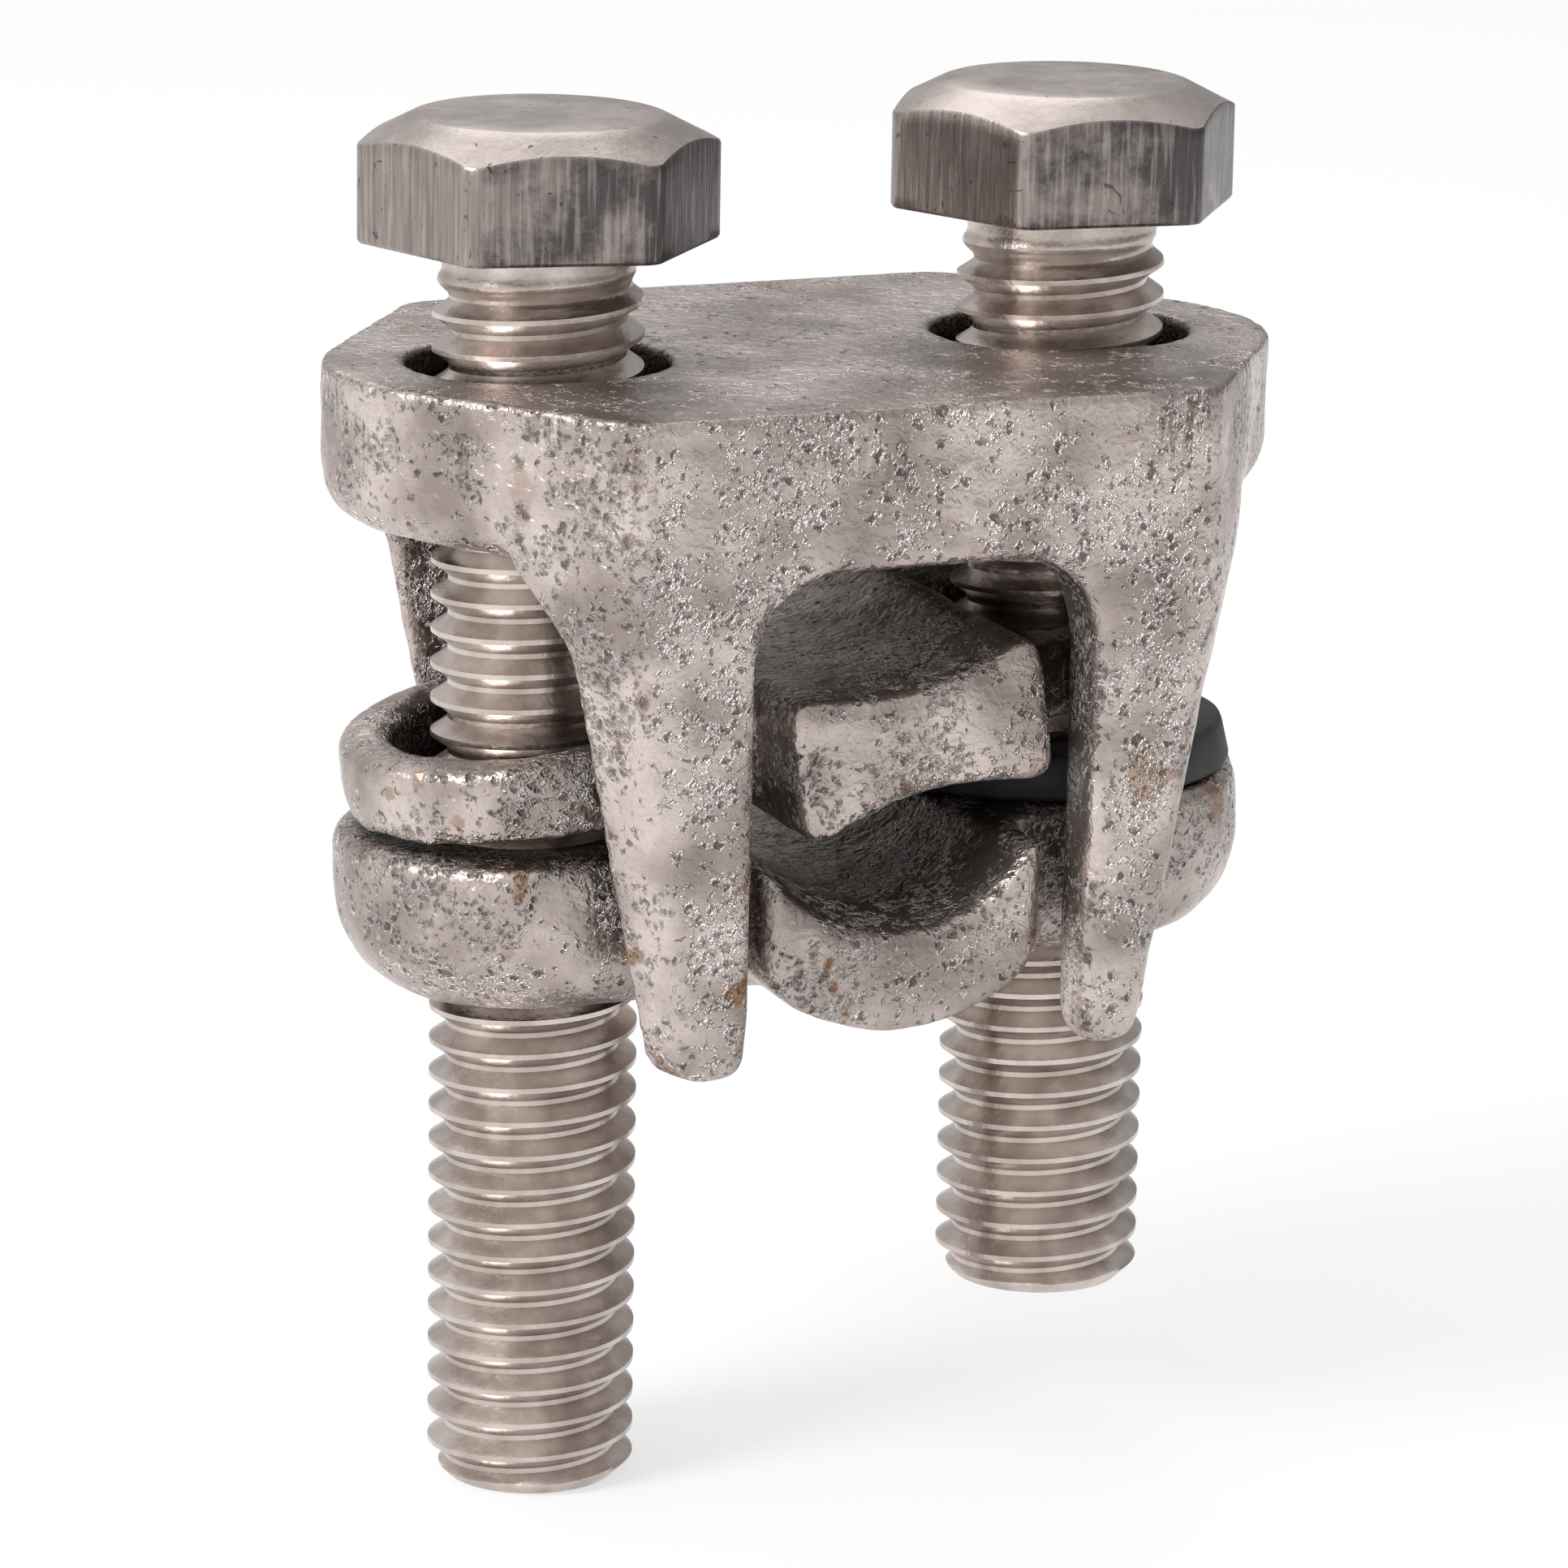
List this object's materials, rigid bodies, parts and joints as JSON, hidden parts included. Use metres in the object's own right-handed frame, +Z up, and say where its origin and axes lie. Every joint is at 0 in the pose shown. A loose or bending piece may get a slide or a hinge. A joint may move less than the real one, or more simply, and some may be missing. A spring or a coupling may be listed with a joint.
{
  "type": "parallel groove clamp",
  "caption": "Cast clamp that grips two parallel cables in grooves between a yoke, a spacer and a keeper drawn together by long hex bolts.",
  "frame": {"origin": "level with the tip of the longer bolt, midway between the bolts", "axes": "+Z up along the bolts towards their heads, +X from the left bolt to the right bolt, +Y to the back; the cables run along Y"},
  "size_m": [0.0446, 0.0306, 0.0632],
  "materials": {
    "tinned_casting": "rough tin-plated bronze casting",
    "bright_steel": "satin",
    "black_rubber": "matt"
  },
  "bodies": {
    "yoke": {"yoke": "tinned_casting"},
    "bolt_left": {"bolt_left": "bright_steel"},
    "bolt_right": {"bolt_right": "bright_steel"},
    "keeper": {"keeper": "tinned_casting", "rubber_washer": "black_rubber"},
    "spacer": {"spacer": "tinned_casting"}
  },
  "joints": [
    {"name": "keeper_travel", "type": "slide", "parent": "yoke", "child": "keeper", "axis": [0, 0, 1], "range_m": [-0.01905, 0.00159]},
    {"name": "bolt_left_turn", "type": "hinge", "parent": "yoke", "child": "bolt_left", "pos_m": [-0.0127, 0, 0.05715], "axis": [0, 0, -1], "range_deg": [-4320, 360]},
    {"name": "bolt_right_turn", "type": "hinge", "parent": "yoke", "child": "bolt_right", "pos_m": [0.0127, 0, 0.05715], "axis": [0, 0, -1], "range_deg": [-4320, 360]},
    {"name": "spacer_lift", "type": "slide", "parent": "keeper", "child": "spacer", "axis": [0, 0, 1], "range_m": [0, 0.0012]}
  ],
  "couplings": [
    {"joint": "bolt_left_turn", "follows": "keeper_travel", "rad_per_m": 3957.9},
    {"joint": "bolt_right_turn", "follows": "keeper_travel", "rad_per_m": 3957.9}
  ]
}
